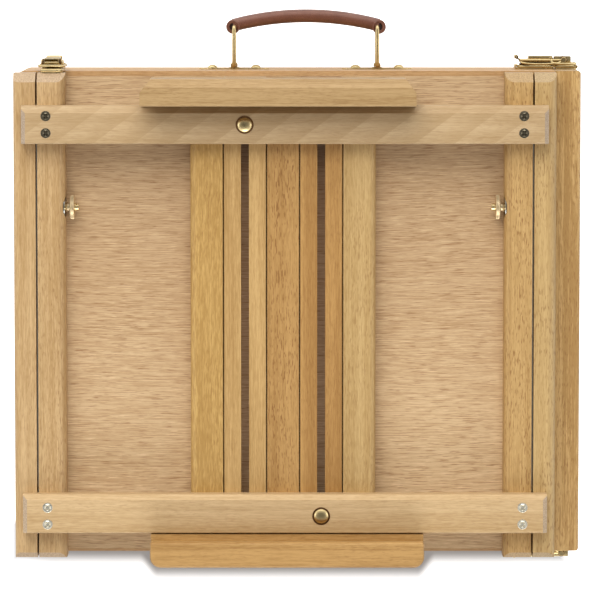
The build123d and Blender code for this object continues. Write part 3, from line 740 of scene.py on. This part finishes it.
def roll(bm, x, y, z, way):
    """The rolled end of the strap: a spiral of leather about the wire, seen from its edge."""
    steps = 72
    thick, wide = 0.75, 7.9
    path = []
    for i in range(steps + 1):
        t = i / steps
        angle = ROLL_START - 2 * math.pi * ROLL_TURNS * t
        radius = 5.7 - 2.1 * t - 0.9 * max(0.0, 1 - t / 0.09)
        path.append((x + way * radius * math.cos(angle), y + radius * math.sin(angle)))
    corners = [(-thick, -wide + 0.3), (-thick + 0.3, -wide), (thick - 0.3, -wide), (thick, -wide + 0.3)]
    corners += [(thick, wide - 0.3), (thick - 0.3, wide), (-thick + 0.3, wide), (-thick, wide - 0.3)]
    rings = []
    for i, (px, py) in enumerate(path):
        ax, ay = path[max(i - 1, 0)]
        bx, by = path[min(i + 1, steps)]
        run = Vector((bx - ax, by - ay, 0)).normalized()
        side = Vector((-run.y, run.x, 0))
        rings.append([(Vector((px, py, z)) + side * a + Vector((0, 0, b))) * MM for a, b in corners])
    rings_to_shell(bm, rings)


def loops():
    """Bent wire loops; each turns in its plate's eye."""
    for side in ("left", "right"):
        node = "handle_loop_" + side
        low, high = (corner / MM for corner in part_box(node))
        radius = (high.x - low.x) / 2
        x = (low.x + high.x) / 2
        y0, y1, z0, z1 = low.y + radius, high.y - radius, low.z + radius, high.z - radius
        path = []
        corners = ((y0, z0, -1, -1), (y0, z1, -1, 1), (y1, z1, 1, 1), (y1, z0, 1, -1))
        for k, (cy, cz, sy, sz) in enumerate(corners):
            start = math.pi - k * math.pi / 2
            for i in range(7):
                angle = start + math.pi / 2 - i * math.pi / 12
                y = cy + WIRE_BEND * (math.cos(angle) - sy)
                z = cz + WIRE_BEND * (math.sin(angle) - sz)
                path.append((x, y, z))
        bm = bmesh.new()
        sweep(bm, Matrix(), path, circle(radius, 16), closed=True)
        piece(node + "_look", bm, node, BRASS, "brass", [node])


def plates():
    """Thin plates with eyes for the loops, and plain domed screws."""
    low, high = (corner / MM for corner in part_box("handle_plates"))
    mid_z = (low.z + high.z) / 2
    face = low.y
    foot = (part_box("handle_loop_left")[0].y) / MM
    bm = bmesh.new()
    screws = bmesh.new()
    middles = [
        sum(corner[0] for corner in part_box("handle_loop_" + side)) / 2 / MM for side in ("left", "right")
    ]
    for x in middles:
        where = placement((x, face, mid_z), (1, 0, 0), (0, 1, 0))
        half, neck, tall = 29.5, 18.3, 6.4
        outline = [(-half, -1.6), (-half + 2.5, -2.6), (-neck - 3, -5.6), (-neck, -tall), (neck, -tall),
                   (neck + 3, -5.6), (half - 2.5, -2.6), (half, -1.6)]
        sheet(bm, where, outline + [(u, -v) for u, v in reversed(outline)], 0, 1.0, 0.3)
        eye = placement((x, foot + 1.65, mid_z - tall), (1, 0, 0), (0, 0, 1))
        ring(bm, eye, 3.0, 1.75, 0, 2 * tall, 0.3, 32)
        for way in (-1, 1):
            slab(bm, where, (way * 3.4 - 1.0, way * 3.4 + 1.0), (-tall, tall), (0.6, 1.7), 0.4)
            spin = placement((x + way * neck, face + 1.0, mid_z), (1, 0, 0), (0, 1, 0))
            dome = [(PLATE_SCREW_R * math.sin(a), 2.8 * math.cos(a)) for a in quarter_turn(12)]
            lathe(screws, spin, [(0, -0.4), (PLATE_SCREW_R, -0.4)] + dome + [(0, 2.8)], 40)
    piece("handle_plate_looks", bm, "box", BRASS, "brass", ["handle_plates"])
    piece("handle_screw_looks", screws, "box", BRASS, "brass", ["handle_screws"])


# Draw latches


# In a latch's frame u runs from the lever to the keeper, v across it and w out of the wood.
# Its origin lies on the joint that the latch closes.
LATCH_FRAMES = {
    "drawer_far": placement((225, 203, 49), (1, 0, 0), (0, 1, 0)),
    "drawer_near": placement((225, -200, 49), (1, 0, 0), (0, -1, 0)),
    "lid": placement((-193.5, 203, 98), (0, 0, 1), (0, 1, 0)),
}

# The lever's pivot and the bail's, as (u, w)
PIVOT = (9.5, 8.0)
BAIL_PIVOT = (-1.0, 8.4)


def side_rail(bm, where, u, v, w, radius):
    """A rolled long edge of a folded sheet part."""
    rod(bm, where, (u[0], v, w), (u[1], v, w), radius, 18)


def latch_base(name, where):
    """A folded plate with rolled edges, ears that carry the lever's pivot, and a roll at its tail."""
    bm, inside = bmesh.new(), bmesh.new()
    half = [(-29.8, -8.6), (-29.0, -9), (0.8, -9), (1.4, -8.4)]
    sheet(bm, where, half + [(u, -v) for u, v in reversed(half)], 0, 0.9)
    for way in (-1, 1):
        side_rail(bm, where, (-28.6, 1.2), way * 7.9, 2.2, 1.25)
        ear = placement((0, 0, 0), (1, 0, 0), (0, -1, 0))
        below = [(-13, 0.5), (-4, 0.5), (4, 2.4), (11.6, 6.2), (11.9, 8.6)]
        above = [(10.4, 10.0), (8.4, 10.0), (6.0, 8.2), (-2, 4.6), (-11, 2.8)]
        sheet(bm, where @ ear, below + above, -way * 5.3 - 0.5, -way * 5.3 + 0.5, 0.2)
    tail = where @ placement((-30.1, -9, 2.3), (1, 0, 0), (0, 1, 0))
    ring(bm, tail, 2.0, 0.6, 0, 18, 0.4, 28)
    # Painted shade: a near-black slab in the base's hollow under the lever
    slab(inside, where, (-27.5, -0.6), (-4.6, 4.6), (0.7, 5.0), 0.5)
    rest = ["latch_bases"] if name == "drawer_far" else []
    piece(name + "_base_look", bm, "box", BRASS, "brass", rest)
    piece(name + "_base_shade", inside, "box", SHADE_BRASS, "brass")


def latch_lever(name, where):
    """A folded lever: a flat top with rolled edges, a pressed hump, and an open channel over the pivot."""
    bm, inside = bmesh.new(), bmesh.new()
    slab(bm, where, (-27.6, 9.0), (-6.9, 6.9), (7.7, 8.7), 0.35)
    slab(bm, where, (-20.2, 0.2), (-6.2, 6.2), (8.3, 11.3), 0.9)
    slab(bm, where, (1.7, 15.6), (-6.45, 6.45), (10.0, 10.9), 0.4)
    # Painted shade: near-black slabs in the lever's hollow; the pivot hubs below are painted shade too
    slab(inside, where, (-27.0, 8.0), (-4.4, 4.4), (5.3, 7.9), 0.4)
    slab(inside, where, (1.7, 4.2), (-5.7, 5.7), (8.3, 10.3), 0.3)
    for way in (-1, 1):
        side_rail(bm, where, (-27.6, 7.4), way * 7.1, 7.6, 1.15)
        edge = way * 6.0
        slab(bm, where, (1.7, 15.6), (edge - 0.4, edge + 0.4), (5.6, 10.7), 0.3)
        bow = [(7.0, 7.6, 6.6), (4.5, 8.6, 5.2), (-4.0, 10.8, 4.6), (-12.0, 11.3, 4.5),
               (-20.0, 10.4, 4.7), (-26.0, 8.2, 5.6), (-26.8, 6.6, 6.8)]
        sweep(bm, where, rounded([(u, way * v, w) for u, v, w in bow], 2), circle(0.8, 12))
        pivot = where @ placement((PIVOT[0], way * 8.1 - 0.4, PIVOT[1]), (1, 0, 0), (0, 1, 0))
        ring(bm, pivot, 2.3, 1.3, 0, 0.8, 0.25, 28)
        rod(inside, where, (PIVOT[0], way * 6.0, PIVOT[1]), (PIVOT[0], way * 7.9, PIVOT[1]), 3.0, 28)
        crank = where @ placement((BAIL_PIVOT[0], way * 6.7 - 0.6, BAIL_PIVOT[1]), (1, 0, 0), (0, 1, 0))
        ring(bm, crank, 2.0, 1.0, 0, 1.2, 0.25, 24)
    rod(bm, where, (14.6, -6.2, 7.3), (14.6, 6.2, 7.3), 1.0, 22)
    half = 6.6
    path = [(u, 0, w) for u, w in ((-27.2, 8.2), (-28.4, 8.6), (-29.4, 9.2), (-30.2, 10.0))]
    sweep(bm, where, path, [(-half, -0.7), (half, -0.7), (half, 0.7), (-half, 0.7)])
    curl = where @ placement((-30.2, -half, 10.4), (1, 0, 0), (0, 1, 0))
    ring(bm, curl, 1.75, 0.5, 0, 2 * half, 0.3, 24)
    piece(name + "_lever_look", bm, name + "_lever", BRASS, "brass", [name + "_lever"])
    piece(name + "_lever_shade", inside, name + "_lever", SHADE_BRASS, "brass")


def latch_bail(name, where):
    """A bowed wire from the lever's sides, low along the plates, to the keeper's roll."""
    half = ((-1.0, 5.6, 8.4), (-1.0, 8.2, 8.2), (-0.7, 9.0, 5.6), (3.0, 10.2, 4.8), (9.0, 11.0, 4.7),
            (14.5, 10.6, 4.6), (18.8, 9.4, 4.7), (19.6, 7.8, 4.9))
    path = list(half) + [(u, -v, w) for u, v, w in reversed(half)]
    bm = bmesh.new()
    sweep(bm, where, rounded(path, 2), circle(0.95, 14))
    piece(name + "_bail_look", bm, name + "_bail", BRASS, "brass", [name + "_bail"])


def rounded(path, rounds):
    """Cuts the corners of an open path, a few times over."""
    points = [Vector(p) for p in path]
    for _ in range(rounds):
        cut = [points[0]]
        for a, b in zip(points, points[1:]):
            cut += [a.lerp(b, 0.25), a.lerp(b, 0.75)]
        points = cut + [points[-1]]
    return [tuple(p) for p in points]


def latch_keeper(name, where, seat, body, replaced):
    """A plate with rolled edges and a roll at its end, which the bail hooks over."""
    bm = bmesh.new()
    half = [(2.4, -8.3), (3.1, -9), (18, -9), (20.4, -7.5)]
    sheet(bm, where, half + [(u, -v) for u, v in reversed(half)], seat, seat + 0.9)
    for way in (-1, 1):
        side_rail(bm, where, (2.6, 19.4), way * 7.9, seat + 2.2, 1.25)
    end = where @ placement((20.0, -8.4, seat + 2.2), (1, 0, 0), (0, 1, 0))
    ring(bm, end, 1.45, 0.5, 0, 16.8, 0.3, 28)
    piece(name + "_keeper_look", bm, body, BRASS, "brass", replaced)


def latches():
    """Three latches. The first one replaces the node of all their bases and that of the drawer's keepers."""
    for name, where in LATCH_FRAMES.items():
        latch_base(name, where)
        latch_lever(name, where)
        latch_bail(name, where)
        if name == "lid":
            latch_keeper(name, where, -1.0, "lid", ["lid_keeper"])
        else:
            latch_keeper(name, where, 0.0, "drawer", ["drawer_keepers"] if name == "drawer_far" else [])


# Stage


def floor():
    """A pale floor, lifted to white for the camera except in a painted contact shadow beside the near side,
    where its colour is darker.
    """
    mesh = bpy.data.meshes.new("floor")
    corners = [(FLOOR_HALF * x, FLOOR_HALF * y, 0) for x, y in ((-1, -1), (1, -1), (1, 1), (-1, 1))]
    mesh.from_pydata(corners, [], [(0, 1, 2, 3)])
    plane = bpy.data.objects.new("floor", mesh)
    bpy.context.collection.objects.link(plane)
    plane.location.z = -0.0005
    look = Look("studio_floor", roughness=0.9, emission_color=(1, 1, 1, 1))
    where = look.place()
    place = look.add("ShaderNodeSeparateXYZ", {0: where})
    # Painted contact shadow: a band beside the near side, reaching further out under the ledge, where the
    # floor is darker and not lifted
    beyond = look.math("SUBTRACT", NEAR_SIDE, place.outputs["Y"])
    from_middle = look.math("ABSOLUTE", look.math("SUBTRACT", place.outputs["X"], LEDGE_MIDDLE), 0.0)
    under_ledge = look.ramp(from_middle, *LEDGE_EDGE, 0, LEDGE_OUT)
    depth = look.ramp(look.math("SUBTRACT", beyond, under_ledge), 0.0, SHADOW_DEPTH)
    open_floor = look.math("MAXIMUM", depth, look.ramp(from_middle, *SHADOW_END))
    open_floor = look.math("MAXIMUM", open_floor, look.ramp(beyond, -0.02, -0.03))
    cloud = look.noise(where, (2, 2, 2), 2.0)
    pale = look.mix(look.ramp(cloud, 0, 1), (0.80, 0.81, 0.82, 1), (0.82, 0.83, 0.84, 1))
    # The grey here is the painted shadow's colour
    look.link(look.mix(open_floor, (0.44, 0.44, 0.45, 1), pale), "Base Color")
    path = look.add("ShaderNodeLightPath")
    lift = look.math("MULTIPLY", open_floor, FLOOR_LIFT)
    look.link(look.math("MULTIPLY", lift, path.outputs["Is Camera Ray"]), "Emission Strength")
    set_material(plane, look.material)


def area_light(name, energy, size, place, mirrored=True):
    """A round soft light aimed at the object; mirrored says whether shiny surfaces show it."""
    data = bpy.data.lights.new(name, "AREA")
    data.energy = energy
    data.shape = "DISK"
    data.size = size
    lamp = bpy.data.objects.new(name, data)
    bpy.context.collection.objects.link(lamp)
    lamp.location = place
    lamp.visible_glossy = mirrored
    lamp.rotation_euler = (LIT - Vector(place)).to_track_quat("-Z", "Y").to_euler()


def world(seen, given):
    """A white surround: seen is its strength for the camera, given is what it lights the object with.

    Shiny surfaces see it bright ahead and behind, dimmer at the sides and dark overhead."""
    surround = bpy.data.worlds.new("studio")
    surround.use_nodes = True
    tree = surround.node_tree
    tree.nodes.clear()
    new = tree.nodes.new
    path, coords, split = new("ShaderNodeLightPath"), new("ShaderNodeTexCoord"), new("ShaderNodeSeparateXYZ")
    tree.links.new(coords.outputs["Generated"], split.inputs[0])

    def math(operation, first, second):
        node = new("ShaderNodeMath")
        node.operation = operation
        for socket, value in zip(node.inputs, (first, second)):
            if isinstance(value, float):
                socket.default_value = value
            else:
                tree.links.new(value, socket)
        return node.outputs[0]

    ahead = math("MULTIPLY", math("POWER", split.outputs["Y"], 2.0), MIRRORED_AHEAD)
    beside = math("MULTIPLY", math("POWER", split.outputs["X"], 2.0), MIRRORED_BESIDE)
    mirrored = math("ADD", math("ADD", ahead, beside), MIRRORED_ABOVE)
    glossy, camera_mix = new("ShaderNodeMixShader"), new("ShaderNodeMixShader")
    out = new("ShaderNodeOutputWorld")
    plain, shiny, white = (new("ShaderNodeBackground") for _ in range(3))
    plain.inputs["Strength"].default_value = given
    white.inputs["Strength"].default_value = seen
    for light in (plain, shiny, white):
        light.inputs["Color"].default_value = (1, 1, 1, 1)
    tree.links.new(mirrored, shiny.inputs["Strength"])
    tree.links.new(path.outputs["Is Glossy Ray"], glossy.inputs[0])
    tree.links.new(plain.outputs[0], glossy.inputs[1])
    tree.links.new(shiny.outputs[0], glossy.inputs[2])
    tree.links.new(path.outputs["Is Camera Ray"], camera_mix.inputs[0])
    tree.links.new(glossy.outputs[0], camera_mix.inputs[1])
    tree.links.new(white.outputs[0], camera_mix.inputs[2])
    tree.links.new(camera_mix.outputs[0], out.inputs["Surface"])
    bpy.context.scene.world = surround


def camera():
    """Looks almost straight down on the lying box, from far away."""
    data = bpy.data.cameras.new("camera")
    data.lens = LENS
    data.sensor_width = SENSOR
    data.clip_start = 0.1
    data.clip_end = 50
    eye = bpy.data.objects.new("camera", data)
    bpy.context.collection.objects.link(eye)
    eye.location = AIM + DISTANCE * Vector((0, math.sin(TILT), math.cos(TILT)))
    eye.rotation_euler = (-TILT, 0, 0)
    bpy.context.scene.camera = eye


dress_nodes()
crossbar_screws("top_crossbar_screws", BRONZE, "bronze_screw")
crossbar_screws("bottom_crossbar_screws", ZINC, "zinc_screw")
mast_bolt_heads()
for nut in ("thumb_nut_left", "thumb_nut_right", "upper_mast_nut", "lower_mast_nut"):
    thumb_nut(nut)
washers()
grip()
loops()
plates()
latches()
floor()
world(seen=1.0, given=0.34)
area_light("key", 96, 2.9, (-0.4, 2.0, 2.1), mirrored=False)
area_light("near_fill", 34, 2.0, (0.2, -2.2, 1.6))
area_light("left_fill", 9, 1.6, (-2.2, 0.2, 1.3))
area_light("right_fill", 9, 1.6, (2.2, 0.2, 1.3))
camera()
bpy.context.scene.view_settings.view_transform = "Standard"
